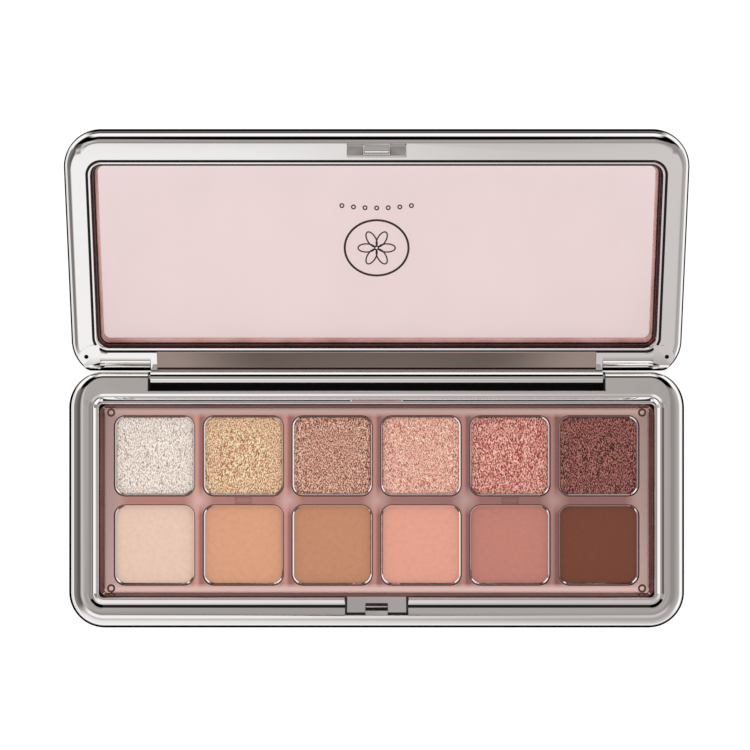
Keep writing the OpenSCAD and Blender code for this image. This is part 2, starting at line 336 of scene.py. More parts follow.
class Tree:
    """A node tree, with short ways to add nodes and join them."""

    def __init__(self, tree):
        self.tree = tree

    def add(self, kind, **props):
        """A new node. A property with the name of an input sets that input's value."""
        node = self.tree.nodes.new(kind)
        for key, value in props.items():
            if key in node.inputs:
                node.inputs[key].default_value = value
            else:
                setattr(node, key, value)
        return node

    def link(self, a, b):
        self.tree.links.new(a, b)

    def feed(self, socket, value):
        """Links another node's output to an input, or gives the input a plain value."""
        if isinstance(value, bpy.types.NodeSocket):
            self.link(value, socket)
        else:
            socket.default_value = value

    def math(self, operation, *values):
        """One sum, on outputs or numbers."""
        node = self.add("ShaderNodeMath", operation=operation)
        for socket, value in zip(node.inputs, values):
            self.feed(socket, value)
        return node.outputs[0]

    def mix(self, share, a, b, **props):
        """Colour a where share is 0, b where it is 1."""
        node = self.add("ShaderNodeMix", data_type="RGBA", **props)
        for index, value in ((0, share), (6, a), (7, b)):
            self.feed(node.inputs[index], value)
        return node.outputs[2]

    def tint(self, a, b):
        """Colour a multiplied by colour b."""
        return self.mix(1.0, a, b, blend_type="MULTIPLY")

    def ramp(self, source, stops):
        """A colour ramp with its stops in rising order."""
        node = self.add("ShaderNodeValToRGB")
        elements = node.color_ramp.elements
        elements.remove(elements[1])
        for i, (position, color) in enumerate(stops):
            element = elements.new(position) if i else elements[0]
            element.position = position
            element.color = color if len(color) == 4 else (*color, 1)
        self.link(source, node.inputs["Fac"])
        return node.outputs["Color"]

    def span(self, source, low, high):
        """Maps 0 to 1 onto low to high."""
        node = self.add("ShaderNodeMapRange")
        node.inputs["To Min"].default_value = low
        node.inputs["To Max"].default_value = high
        self.link(source, node.inputs["Value"])
        return node.outputs["Result"]

    def smooth(self, source, low, high):
        """Rises smoothly from 0 to 1 as the source goes from low to high."""
        node = self.add("ShaderNodeMapRange", interpolation_type="SMOOTHSTEP")
        node.inputs["From Min"].default_value = low
        node.inputs["From Max"].default_value = high
        self.link(source, node.inputs["Value"])
        return node.outputs["Result"]


class Nodes(Tree):
    """A material's node tree, with one Principled shader."""

    def __init__(self, name, **values):
        self.material = bpy.data.materials.new(name)
        self.material.use_nodes = True
        super().__init__(self.material.node_tree)
        self.shader = self.tree.nodes["Principled BSDF"]
        self.output = self.tree.nodes["Material Output"]
        self.set(**values)

    def set(self, **values):
        """Sets the shader's inputs, with _ for a space in their names."""
        for key, value in values.items():
            self.shader.inputs[key.replace("_", " ")].default_value = value

    def coords(self):
        return self.add("ShaderNodeTexCoord").outputs["Object"]

    def noise(self, scale, detail, roughness=0.5, stretch=None, turn=0.0):
        """Noise in object space; scale is in features per metre, turn in degrees about Z."""
        node = self.add("ShaderNodeTexNoise", Scale=scale, Detail=detail, Roughness=roughness)
        source = self.coords()
        if stretch:
            mapping = self.add("ShaderNodeMapping")
            mapping.inputs["Scale"].default_value = stretch
            mapping.inputs["Rotation"].default_value = (0, 0, math.radians(turn))
            self.link(source, mapping.inputs["Vector"])
            source = mapping.outputs["Vector"]
        self.link(source, node.inputs["Vector"])
        return node.outputs["Fac"]

    def bump(self, source, strength, distance):
        node = self.add("ShaderNodeBump", Strength=strength, Distance=distance)
        self.link(source, node.inputs["Height"])
        self.link(node.outputs["Normal"], self.shader.inputs["Normal"])


def rgb(r, g, b):
    """A colour given as seen on screen, 0 to 255, as linear values."""
    def linear(v):
        v /= 255
        return v / 12.92 if v <= 0.04045 else ((v + 0.055) / 1.055) ** 2.4

    return (linear(r), linear(g), linear(b), 1)


def scaled(color, factor):
    """A colour made lighter or darker, held to 1."""
    return [min(1.0, c * factor) for c in color[:3]]


def grey(value):
    return (value, value, value)


def plated(name, tint, roughness=0.012):
    """Vacuum metallised plastic: mirror bright, with a faint unevenness."""
    n = Nodes(name, Metallic=1.0, Base_Color=tint)
    n.link(n.span(n.noise(900, 2), roughness * 0.7, roughness * 1.4), n.shader.inputs["Roughness"])
    n.bump(n.noise(160, 2, 0.4), 0.02, 0.0002)
    return n.material


def rose_plastic(name, tint, deep, roughness):
    """Translucent rose plastic with a deeper random mottle; its lighter and darker copies carry painted
    light and shade.
    """
    n = Nodes(name, Base_Color=tint, IOR=1.5, Coat_Weight=0.6, Coat_Roughness=0.05)
    n.set(Subsurface_Weight=0.25, Subsurface_Scale=0.002)
    n.link(n.ramp(n.noise(120, 3), [(0.3, deep), (0.7, tint)]), n.shader.inputs["Base Color"])
    n.link(n.span(n.noise(500, 2), roughness * 0.8, roughness * 1.3), n.shader.inputs["Roughness"])
    n.bump(n.noise(1500, 2), 0.03, 0.00005)
    return n.material


def tray_plastic(name, flat, bar, gleam):
    """The tray's rose plastic: pale over the rim, deeper between the pans, with painted light and shade over
    the bars and the rim and a painted highlight where bars cross.
    """
    n = Nodes(name, Base_Color=bar, IOR=1.5, Coat_Weight=0.6, Coat_Roughness=0.05)
    n.set(Subsurface_Weight=0.2, Subsurface_Scale=0.002)
    split = n.add("ShaderNodeSeparateXYZ")
    n.link(n.coords(), split.inputs[0])
    x, y, _ = split.outputs
    half_pitch = PITCH_X / 2 * MM

    def centred(source, width):
        """0 to 1 across a width in millimetres about the middle."""
        return n.math("MULTIPLY_ADD", source, 1 / (width * MM), 0.5)

    # Between the pans: painted light and shade, a lighter and a darker side on each bar, and a painted
    # highlight where bars cross, all fading darker towards +X as a painted falloff of the light.
    bars = n.math("WRAP", x, -half_pitch, half_pitch)
    distance = n.math("SQRT", n.math("ADD", n.math("MULTIPLY", bars, bars), n.math("MULTIPLY", y, y)))
    near = n.ramp(n.math("DIVIDE", distance, 4.2 * MM), [(0.1, grey(1)), (0.8, grey(0))])
    light, dark = scaled(bar, 1.45), scaled(bar, 0.75)
    stops = [(0.3, bar), (0.4, light), (0.46, light), (0.54, dark), (0.6, dark), (0.7, bar)]
    shade = n.ramp(centred(bars, 8), stops)
    fall = n.ramp(centred(x, 110), [(0.1, grey(1.12)), (0.9, grey(0.7))])
    inner = n.tint(n.mix(near, shade, gleam), fall)

    # Outside the pans: painted light, paler at the ends than at the front and back, and painted shade,
    # darker towards the back.
    across = n.math("ABSOLUTE", n.math("DIVIDE", x, COLUMNS * PITCH_X / 2 * MM))
    along = n.math("ABSOLUTE", n.math("DIVIDE", y, PITCH_Y * MM))
    ends = n.ramp(n.math("SUBTRACT", across, along), [(0.0, scaled(flat, 1.28)), (0.06, scaled(flat, 0.84))])
    slope = n.ramp(centred(y, 44), [(0.1, grey(1.2)), (0.5, grey(1)), (0.9, grey(0.88))])
    outer = n.tint(ends, slope)

    place = n.ramp(n.math("MAXIMUM", across, along), [(0.93, grey(0)), (0.985, grey(1))])
    n.link(n.mix(place, inner, outer), n.shader.inputs["Base Color"])
    n.link(n.span(n.noise(500, 2), 0.1, 0.16), n.shader.inputs["Roughness"])
    n.bump(n.noise(1500, 2), 0.03, 0.00005)
    return n.material


def clear_rose(name, tint):
    """Thin clear plastic that shows what is behind it, tinted, under a weak mirror gloss.
    The gloss grows towards a grazing view alike from both sides, as it does for a plate."""
    n = Nodes(name, Base_Color=tint, Roughness=0.03, IOR=1.49)
    clear = n.add("ShaderNodeBsdfTransparent")
    n.link(n.ramp(n.noise(60, 2), [(0.25, scaled(tint, 0.985)), (0.75, tint)]), clear.inputs["Color"])
    shine = n.add("ShaderNodeBsdfGlossy", Roughness=0.02)
    facing = n.add("ShaderNodeLayerWeight", Blend=0.5).outputs["Facing"]
    weight = n.math("MULTIPLY_ADD", n.math("POWER", facing, 5.0), 0.9, 0.02)
    mix = n.add("ShaderNodeMixShader")
    n.link(weight, mix.inputs["Fac"])
    n.link(clear.outputs["BSDF"], mix.inputs[1])
    n.link(shine.outputs["BSDF"], mix.inputs[2])
    n.link(mix.outputs["Shader"], n.output.inputs["Surface"])
    return n.material


def matte(name, color):
    """A dry, dull surface with a faint texture: pressed powder, printed ink, or the near-black painted shade
    in the case's hollows.
    """
    n = Nodes(name, Base_Color=color, Roughness=0.92, Sheen_Weight=0.1)
    n.set(Specular_IOR_Level=0.25)
    mottle = n.ramp(n.noise(900, 5, 0.65), [(0.3, scaled(color, 0.94)), (0.7, scaled(color, 1.05))])
    n.link(mottle, n.shader.inputs["Base Color"])
    n.bump(n.noise(6000, 4, 0.7), 0.25, 0.00004)
    return n.material


def shimmer_powder(name, dark, mid, bright, grain, spread, metal):
    """Pressed shimmer: a fine, crossing grain of flakes. The bright colour stands for the flakes' glints, a
    painted highlight over the grain's own random tone.
    """
    n = Nodes(name, Base_Color=mid, Metallic=metal, Roughness=0.45)
    one = n.noise(grain, 2, 0.6, (1.0, 0.42, 1.0), 38)
    other = n.noise(grain, 2, 0.6, (1.0, 0.42, 1.0), -42)
    pick = n.ramp(n.noise(grain * 0.18, 2), [(0.44, grey(0)), (0.56, grey(1))])
    both = n.add("ShaderNodeMix", data_type="FLOAT")
    n.link(pick, both.inputs[0])
    n.link(one, both.inputs[2])
    n.link(other, both.inputs[3])
    flakes = both.outputs[0]
    stops = [(0.5 - spread, dark), (0.5, mid), (0.5 + spread * 0.9, bright)]
    n.link(n.ramp(flakes, stops), n.shader.inputs["Base Color"])
    n.link(n.span(n.noise(grain * 1.4, 2), 0.32, 0.6), n.shader.inputs["Roughness"])
    n.bump(flakes, 0.7, 0.0001)
    return n.material


def assign(obj, *materials, clear=True):
    """Gives an object its materials; clearing the old ones also resets which face has which."""
    if clear:
        obj.data.materials.clear()
    for m in materials:
        obj.data.materials.append(m)


PLATED = plated("plated_case", rgb(252, 251, 250))
# A warmer, darker copy of the plating: a painted reflection tint for the band beside the barrel.
PLATED_BAND = plated("plated_band", rgb(240, 222, 214))
# Near-black rough plastic: painted shade, put where the plating would only be in shadow: the notch, the
# recess walls, the nub's lower faces, the wall inside the lip, the frame's inner chamfer underneath, the
# steps' walls and the dimples.
PAINTED_SHADE = matte("painted_shade_dark", rgb(26, 24, 24))
ROSE_FLAT = tray_plastic("rose_tray", rgb(176, 146, 140), rgb(156, 108, 101), rgb(190, 152, 144))
# A dark copy of the rose: painted shade for the tray's walls and hollows.
ROSE_WALL = rose_plastic("rose_wall", rgb(98, 57, 52), rgb(82, 46, 42), 0.08)
# A lighter and a darker copy of the rose for the window's walls: painted highlight on the upper walls,
# painted shade on their lower part.
ROSE_EDGE = rose_plastic("rose_edge", rgb(222, 174, 166), rgb(190, 138, 130), 0.05)
ROSE_DARK = rose_plastic("rose_dark", rgb(62, 36, 33), rgb(44, 26, 24), 0.05)
WINDOW = clear_rose("rose_window", rgb(243, 233, 233))
ALUMINIUM = plated("pan_aluminium", rgb(250, 246, 244), 0.03)
INK = matte("print_ink", rgb(52, 40, 40))
STEEL = plated("pin_steel", rgb(190, 190, 192), 0.2)


# ---------------------------------------------------------------- base shell


def base_profile(nx, ny):
    """Section of the rim; the outer rounding is tighter along the back."""
    back = max(0.0, ny)
    r = RIM_R - RIM_R_LESS * back * back
    outer = arc(r, BAND_Z - r, r, 180, 90, 16)
    points = [(1.2, 0.0)] + arc(1.2, 1.2, 1.2, 250, 190, 4) + outer
    points += [(4.85, BAND_Z), (5.0, BAND_Z - 0.04), (5.5, BAND_Z - 0.24), (5.65, BAND_Z - 0.28)]
    points += [(5.75, BAND_Z - 0.2), (6.62, LIP_Z - 0.06), (6.74, LIP_Z), (7.1, LIP_Z)]
    points += [(WELL_IN, LIP_Z - 0.25), (WELL_IN, COVER_TOP), (COVER_IN, COVER_TOP), (COVER_IN, 0.0)]
    return points


def make_base_shell():
    """The swept rim, with the barrel's notch and the latch recess cut in and the nub put on."""
    bm = bmesh.new()
    # The wall inside the lip gets the painted shade.
    sweep_ring(bm, rounded_outline(CASE_W, CASE_D, CORNER_R, 20), base_profile, (-4,))
    shell = link("base_shell_finish", bm)
    assign(shell, PLATED, PAINTED_SHADE, clear=False)
    # The notch's faces get the painted shade.
    boolean(shell, cutter(build_notch, PAINTED_SHADE))
    # The recess's walls get the painted shade; its floor stays plated.
    boolean(shell, cutter(build_recess, PLATED, PAINTED_SHADE, pick=lambda face: face.normal.z >= -0.5))
    # The nub's faces below NUB_DARK_Z get the painted shade.
    nub = cutter(build_nub, PLATED, PAINTED_SHADE, pick=lambda face: face.center.z / MM < NUB_DARK_Z)
    boolean(shell, nub, "UNION")
    tidy_mesh(shell)
    soften(shell, 0.12)
    boolean(shell, cutter(lambda b: build_pin_bores(b, NOTCH_HALF - 1, NOTCH_HALF + 8, PIN_R)))
    soften(shell, 0.0)
    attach(shell, "base")
    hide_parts("base_shell")


def build_notch(bm):
    """Room for the lid's barrel, open to the back and the top."""
    add_box(bm, (-NOTCH_HALF, AXIS_Y - NOTCH_REACH, AXIS_Z - NOTCH_REACH), (NOTCH_HALF, 40, 20))


def build_recess(bm):
    """Room for the latch recess, with a little draft on its walls."""
    rings = []
    for half, front, z in ((6.75, -25.65, RECESS_Z), (7.25, -26.1, LIP_Z + 0.2)):
        corners = ((-half, front), (half, front), (half, RECESS_BACK), (-half, RECESS_BACK))
        rings.append([bm.verts.new((x, y, z)) for x, y in corners])
    fill_rings(bm, rings)


def build_pin_bores(bm, start, end, r):
    """A bore for each hinge pin, along the axis, from start to end out from the middle."""
    outline = arc(AXIS_Y, AXIS_Z, r, 0, 360 * 31 / 32, 31)
    for side in (-1, 1):
        x0, x1 = sorted((side * start, side * end))
        add_prism(bm, outline, x0, x1)


def build_nub(bm):
    """The catch: a block, a groove and a rounded bead along its back face. The dark of its groove and lower
    faces is painted shade.
    """
    outline = [(-26.4, NUB_FOOT), (-26.4, 8.0), (-24.95, 8.0)]
    outline += [(-24.8, 7.2), (-24.3, 7.2), (-24.2, 7.7), (-23.95, 7.7)]
    outline += arc(-23.85, 7.3, 0.2, 90, -90, 6)
    outline += [(-23.85, NUB_FOOT)]
    add_prism(bm, outline, -NUB_HALF, NUB_HALF)


# ---------------------------------------------------------------- lid


def lid_profile(nx, ny):
    """Section of the lid's frame, closed: face down. Its lower rounding is larger along the front."""
    w = FRAME_W
    front = max(0.0, -ny)
    r = 2.25 + 0.45 * front * front
    points = arc(r, LID_Z + r, r, 270, 180, 12)
    points += arc(2.4, LID_TOP - 2.4, 2.4, 180, 90, 10)
    points += [(w + 0.8, LID_TOP), (w + 0.8, LID_TOP - 0.6), (w, LID_TOP - 0.6)]
    points += [(w, LID_Z + 1.2), (w - 0.1, LID_Z + 0.25), (w - 0.3, LID_Z + 0.04), (w - 0.62, LID_Z + 0.04)]
    points += [(w - 0.9, LID_Z + 0.42), (w - 1.22, LID_Z)]
    return points


def widen(bm):
    """Moves the inner part of the swept frame in, in front of the window and behind it."""
    half = LID_D / 2
    for v in bm.verts:
        y = v.co.y - LID_MID_Y
        side = 1 if y > 0 else -1
        depth = half - abs(y)
        edge_x = LID_W / 2 - abs(v.co.x)
        inner = min(edge_x, depth)
        if inner > 3.2 and abs(v.co.x) < LID_W / 2:
            v.co.y -= side * FRAME_EXTRA * min(1.0, (inner - 3.2) / 1.7)


def to_closed(y, z):
    """A point beside the axis as it lies open, (y, z) from the axis, moved to where it lies closed."""
    c, s = math.cos(LID_OPEN), math.sin(LID_OPEN)
    return AXIS_Y + y * c - z * s, AXIS_Z + y * s + z * c


def build_back_cut(bm):
    """Everything of the frame that would stand in the base when the lid is open."""
    corners = [(STAND_OFF - 14, -12), (STAND_OFF, -12), (STAND_OFF, 6), (STAND_OFF - 14, 6)]
    add_prism(bm, [to_closed(y, z) for y, z in corners], -80, 80)


def build_band_cut(bm):
    """The lower band in the frame's face beside the barrel, nearly level when the lid is open."""
    c, s = math.cos(LID_OPEN), math.sin(LID_OPEN)
    edge_z = (STAND_OFF * s - (LID_Z - AXIS_Z)) / -c
    tilt = math.radians(4)
    reach = 5.7 - STAND_OFF
    far = (STAND_OFF + reach, edge_z - reach * math.tan(tilt))
    near_y = STAND_OFF - 0.3
    corners = [(near_y, edge_z + 0.02), far, (far[0] + 0.35, far[1] + 6), (near_y, edge_z + 6)]
    half = BARREL_HALF - 1.2
    add_prism(bm, [to_closed(y, z) for y, z in corners], -half, half)


def heel_outline():
    """Outside of the rounding between the face and the back face, as it lies open."""
    r = 4.5
    c, s = math.cos(LID_OPEN), math.sin(LID_OPEN)
    edge_z = (LID_Z - AXIS_Z - STAND_OFF * s) / c
    reach = r * math.tan((LID_OPEN - math.pi / 2) / 2)
    middle = (STAND_OFF + r, edge_z - reach)
    start = 180
    end = math.degrees(math.atan2(-c, -s))
    curve = arc(middle[0], middle[1], r, start, end, 12)
    outside = [(curve[-1][0] - 0.4, curve[-1][1] + 1.2)]
    outside += [(STAND_OFF - 1, edge_z + 1.2), (STAND_OFF - 1, middle[1])]
    return curve + outside


def build_heel_cut(bm):
    """What is cut away outside the rounding, on both sides of the barrel."""
    outline = [to_closed(y, z) for y, z in heel_outline()]
    add_prism(bm, outline, BARREL_HALF + 0.25, 80)
    add_prism(bm, outline, -80, -BARREL_HALF - 0.25)


def build_dimples(bm):
    """A small round dimple in each step."""
    for side in (-1, 1):
        add_disc(bm, side * DIMPLE_X, AXIS_Y - 4, LID_Z - 1, LID_Z + 1.4, DIMPLE_R, 24)


def build_steps(bm):
    """The lower round step at each hinge-side corner."""
    for side in (-1, 1):
        add_disc(bm, side * STEP_X, AXIS_Y - 3.05, LID_Z - 1, LID_Z + 0.6, STEP_R, 64)


def build_step_room(bm):
    """The part of the corners that the steps may take up."""
    for side in (-1, 1):
        x0, x1 = sorted((side * 62.9, side * 73))
        add_box(bm, (x0, AXIS_Y - 10, LID_Z - 2), (x1, AXIS_Y + 10, LID_Z + 3))


def build_barrel(bm):
    """The barrel and the web that joins it to the frame."""
    inner = LID_Z - AXIS_Z
    outline = arc(AXIS_Y, AXIS_Z, BARREL_R, 180, 435, 40)
    outline += [(AXIS_Y - 0.75, AXIS_Z + inner + 1.4), (AXIS_Y - 1.62, AXIS_Z + inner + 1.4)]
    outline += [(AXIS_Y - 1.62, AXIS_Z + inner)]
    add_prism(bm, outline, -BARREL_HALF, BARREL_HALF)


def build_hook(bm):
    """The hook's block. Its end is level when the lid is open, and rounded towards the window."""
    low = LID_Z - 2.9
    rise = 2.6 * math.tan(math.pi - LID_OPEN)
    r = 0.55
    profile = [(HOOK_FRONT, LID_Z + 0.8), (HOOK_FRONT, low + rise)]
    profile += arc(HOOK_BACK - r, low + r + 0.12, r, 285, 360, 5)
    profile += [(HOOK_BACK, LID_Z + 0.8)]
    add_prism(bm, profile, -HOOK_HALF, HOOK_HALF)


def build_hook_slot(bm):
    """The slot that the nub stands in."""
    add_box(bm, (-HOOK_SLOT_HALF, -26.2, LID_Z - 4), (HOOK_SLOT_HALF, -23.45, LID_Z - 0.3))


def make_lid_frame():
    """The swept frame, cut to clear the base, with the barrel and the hook put on."""
    bm = bmesh.new()
    outline = rounded_outline(LID_W, LID_D, LID_CORNER_R, 20, (0, LID_MID_Y))
    # The frame's inner chamfer underneath gets the painted shade.
    sweep_ring(bm, outline, lid_profile, (-2,))
    widen(bm)
    lid = link("lid_frame_finish", bm)
    assign(lid, PLATED, PAINTED_SHADE, clear=False)
    boolean(lid, cutter(build_back_cut))
    boolean(lid, cutter(build_heel_cut))
    # The band takes the warmer plated copy, a painted reflection tint.
    boolean(lid, cutter(build_band_cut, PLATED_BAND))
    # The steps' walls get the painted shade.
    step = cutter(build_steps, PLATED, PAINTED_SHADE, pick=lambda face: abs(face.normal.z) < 0.5)
    boolean(step, cutter(build_step_room), "INTERSECT")
    boolean(lid, step)
    # The dimples get the painted shade.
    boolean(lid, cutter(build_dimples, PAINTED_SHADE))
    boolean(lid, cutter(build_barrel), "UNION")
    hook = cutter(build_hook)
    boolean(hook, cutter(build_hook_slot))
    soften(hook, 0.35, 3, 60)
    boolean(lid, hook, "UNION")
    tidy_mesh(lid)
    soften(lid, 0.1)
    boolean(lid, cutter(lambda b: build_pin_bores(b, BARREL_HALF - 5.4, BARREL_HALF + 1, PIN_R + PIN_PLAY)))
    soften(lid, 0.0)
    open_lid(lid)
    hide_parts("lid_frame")


def make_window():
    """The rose tub: a clear plate with rose side walls that slope to it."""
    outer_w = LID_W - 2 * FRAME_W - WINDOW_GAP
    outer_d = LID_D - 2 * FRAME_W - 2 * FRAME_EXTRA - WINDOW_GAP
    outer_r = LID_CORNER_R - FRAME_W - 0.05
    rim_z = LID_Z + 1.45
    levels = [(0.8, LID_TOP), (0.8, LID_TOP - 0.65), (0.0, LID_TOP - 0.65), (0.0, rim_z + 0.1)]
    levels += [(0.06, rim_z), (0.3, rim_z), (0.36, rim_z + 0.1), (0.48, rim_z + 1.1)]
    levels += [(0.56, PLATE_Z - 0.5), (0.68, PLATE_Z - 0.2), (0.92, PLATE_Z)]
    bm = bmesh.new()
    loft(bm, levels, outer_w, outer_d, outer_r, 10, (0, LID_MID_Y))
    window = link("lid_window_finish", bm)
    soften(window, 0.0)
    assign(window, WINDOW, ROSE_EDGE, ROSE_DARK)

    def material_of(face):
        """The clear plate, the walls in their lighter rose with painted highlight, or the lower part of the
        walls in painted shade.
        """
        z = (face.center / MM).z
        if z < rim_z + 1.1:
            return 2
        flat = abs(face.normal.z) > 0.9 and face.area > 1e-4
        return 0 if flat and z > PLATE_Z - 0.01 else 1

    paint(window, material_of)
    open_lid(window)
    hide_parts("lid_window")


def add_stroke(bm, points, width):
    """A flat ribbon round a closed line of (x, y) points, at height 0."""
    count = len(points)
    pairs = []
    for i, (x, y) in enumerate(points):
        before, after = points[i - 1], points[(i + 1) % count]
        dx, dy = after[0] - before[0], after[1] - before[1]
        size = math.hypot(dx, dy)
        nx, ny = -dy / size * width / 2, dx / size * width / 2
        pairs.append((bm.verts.new((x + nx, y + ny, 0)), bm.verts.new((x - nx, y - ny, 0))))
    for i in range(count):
        j = (i + 1) % count
        bm.faces.new((pairs[i][0], pairs[i][1], pairs[j][1], pairs[j][0]))


def ellipse(cx, cy, rx, ry, turn=0.0, steps=48):
    """Points round an ellipse that is turned by an angle in radians."""
    c, s = math.cos(turn), math.sin(turn)
    points = []
    for a in angles(steps):
        x, y = rx * math.cos(a), ry * math.sin(a)
        points.append((cx + x * c - y * s, cy + x * s + y * c))
    return points


def make_ornament():
    """A generic printed line drawing: a flower in an oval over a short row of rings."""
    petals, petal_out = 6, 2.3
    ring_pitch, ring_y, ring_sag = 2.6, -9.2, 0.06
    bm = bmesh.new()
    add_stroke(bm, ellipse(0, 0, 7.2, 6.4), 0.5)
    for k in range(petals):
        a = 2 * math.pi / petals * k
        petal = ellipse(petal_out * math.cos(a), petal_out * math.sin(a), 1.9, 0.95, a, 32)
        add_stroke(bm, petal, 0.32)
    add_stroke(bm, ellipse(0, 0, 0.45, 0.45, 0, 20), 0.3)
    for k in range(-3, 4):
        add_stroke(bm, ellipse(ring_pitch * k, ring_y - ring_sag * k * k, 0.42, 0.42, 0, 16), 0.3)
    for v in bm.verts:
        v.co.y += PRINT_Y
        v.co.z = PLATE_Z - PRINT_LIFT
    ornament = link("window_print", bm)
    assign(ornament, INK)
    open_lid(ornament)


# ---------------------------------------------------------------- tray, pans and powders


def pan_middle(i):
    """Middle of pan i, from 1, back row first."""
    column = (i - 1) % COLUMNS
    row = (i - 1) // COLUMNS
    return (column - (COLUMNS - 1) / 2) * PITCH_X, (0.5 - row) * PITCH_Y


def tray_profile_levels():
    """Rim wall of the tray, from its outside over the top and down to the flat."""
    top = TRAY_HIGH.z
    return [
        (0.0, TRAY_LOW.z),
        (0.0, top - 0.1),
        (0.1, top),
        (0.3, top),
        (0.95, TRAY_Z + 0.12),
        (1.05, TRAY_Z - 0.1),
        (1.25, TRAY_Z - 0.1),
        (1.35, TRAY_Z),
    ]


def make_tray():
    """The rose insert, with its rim wall, pockets, round marks and slots."""
    w = TRAY_HIGH.x - TRAY_LOW.x
    d = TRAY_HIGH.y - TRAY_LOW.y
    bm = bmesh.new()
    rings = []
    for inset, z in tray_profile_levels():
        outline = rounded_outline(w - 2 * inset, d - 2 * (inset * 0.8), max(1.9 - inset, 0.6), 10)
        rings.append([bm.verts.new((x, y, z)) for x, y, _, _ in outline])
    fill_rings(bm, rings)
    tray = link("pan_tray_finish", bm)
    boolean(tray, cutter(build_pockets))
    boolean(tray, cutter(build_marks))
    tidy_mesh(tray)
    soften(tray, 0.36, 3, 50)
    assign(tray, ROSE_FLAT, ROSE_WALL)

    def is_deep(face):
        """True for the outside wall, the pockets' walls and the bottoms of the round marks, which get the
        dark rose as painted shade.
        """
        middle = face.center / MM
        outer = abs(middle.x) > w / 2 - 1.0 or abs(middle.y) > d / 2 - 0.8
        off_mark = math.hypot(abs(middle.x) - MARK_X, abs(middle.y) - MARK_Y)
        in_mark = 0.45 < off_mark < 1.0 and middle.z < TRAY_Z - 0.02
        return outer or middle.z < TRAY_Z - 0.5 or in_mark

    paint(tray, is_deep)
    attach(tray, "base")
    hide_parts("pan_tray")


def build_pockets(bm):
    """A square pocket for each pan."""
    for i in range(1, PANS + 1):
        loft(bm, [(0, TRAY_LOW.z + 1.0), (0, 12)], POCKET, POCKET, POCKET_R, 8, pan_middle(i))


def build_marks(bm):
    """The round marks near the corners and the slots in the middle bar."""
    for x in (-MARK_X, MARK_X):
        for y in (-MARK_Y, MARK_Y):
            add_tube(bm, x, y, TRAY_Z - 0.3, TRAY_Z + 1, MARK_IN, MARK_OUT)
    for x in (-SLOT_X, SLOT_X):
        low = (x - SLOT_HALF_X, -SLOT_HALF_Y, TRAY_Z - 0.35)
        add_box(bm, low, (x + SLOT_HALF_X, SLOT_HALF_Y, TRAY_Z + 1))


def make_pan(i):
    """A drawn metal pan with a rolled rim."""
    low, high = node_box(f"pan_{i}")
    side = high.x - low.x
    top = high.z
    levels = [(0.6, low.z), (0.25, low.z + 0.1), (0.05, low.z + 0.4)]
    levels += arc(0.12, top - 0.12, 0.12, 180, 90, 4)
    levels += [(0.17, top), (0.43, top - 0.25), (0.36, top - 0.4)]
    levels += [(0.35, low.z + 0.5), (0.7, low.z + 0.35)]
    bm = bmesh.new()
    loft(bm, levels, side, side, POCKET_R - 0.1, 8, pan_middle(i))
    pan = link(f"pan_{i}_finish", bm)
    soften(pan, 0.0)
    assign(pan, ALUMINIUM)
    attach(pan, "base")
    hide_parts(f"pan_{i}")


def powder_levels(low_z, top, side, crown, edge):
    """The cake's levels, as (inset, height): its side, its rounded edge and its crowned face."""
    edge_steps, crown_steps = 6, 13
    levels = [(0.0, low_z), (0.0, top - edge - crown)]
    for k in range(1, edge_steps + 1):
        a = math.pi / 2 * k / edge_steps
        levels.append((edge * 1.6 * (1 - math.cos(a)), top - crown - edge + edge * math.sin(a)))
    inset0 = levels[-1][0]
    for k in range(1, crown_steps):
        share = k / crown_steps
        rise = crown * (1 - (1 - share) ** 2.2)
        levels.append((inset0 + (side / 2 - inset0) * share, top - crown + rise))
    return levels


def make_powder(i, material, crown, edge):
    """A pressed cake: a flat or crowned face, a softened edge and a faint unevenness."""
    low, high = node_box(f"powder_{i}")
    side = high.x - low.x
    top = high.z
    rng = random.Random(i)
    phase_x = rng.uniform(0, 6.28)
    phase_y = rng.uniform(0, 6.28)
    cx, cy = pan_middle(i)
    bm = bmesh.new()
    rings = []
    for inset, z in powder_levels(low.z, top, side, crown, edge):
        size = side - 2 * inset
        ring = []
        for x, y, _, _ in rounded_outline(size, size, max(POWDER_R - inset * 0.6, 0.15), 8, (cx, cy)):
            lift = 0.0
            if z > top - edge - crown:
                lift = 0.012 * (math.sin((x - cx) * 0.9 + phase_x) + math.sin((y - cy) * 1.1 + phase_y) - 2)
            ring.append(bm.verts.new((x, y, z + lift)))
        rings.append(ring)
    fill_rings(bm, rings)
    powder = link(f"powder_{i}_cake", bm)
    assign(powder, material)
    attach(powder, "base")
    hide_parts(f"powder_{i}")


# The bright colour is a painted highlight for the flakes' glints; dark and middle are the powder's own
# tones.
# Name, dark, middle and bright colour, grain per metre, spread of the colours, metallic share.
SHIMMERS = [
    ("pearl", (151, 134, 120), (252, 230, 212), (255, 255, 255), 5200, 0.11, 0.3),
    ("gold_peach", (146, 77, 46), (255, 177, 126), (255, 255, 219), 6200, 0.075, 0.4),
    ("rose_taupe", (94, 49, 38), (211, 127, 107), (255, 218, 192), 6000, 0.07, 0.4),
    ("pink_peach", (145, 84, 70), (241, 156, 136), (255, 233, 211), 6400, 0.1, 0.3),
    ("coarse_rose", (120, 48, 41), (229, 115, 104), (255, 214, 196), 4800, 0.08, 0.4),
    ("burgundy_brown", (42, 17, 16), (110, 58, 52), (210, 136, 125), 5600, 0.075, 0.45),
]
MATTES = [
    ("ivory", (214, 183, 165)),
    ("apricot", (201, 146, 115)),
    ("tan", (180, 126, 97)),
    ("pink_peach_matte", (210, 147, 129)),
    ("dusty_rose", (177, 116, 103)),
    ("brown", (108, 61, 45)),
]


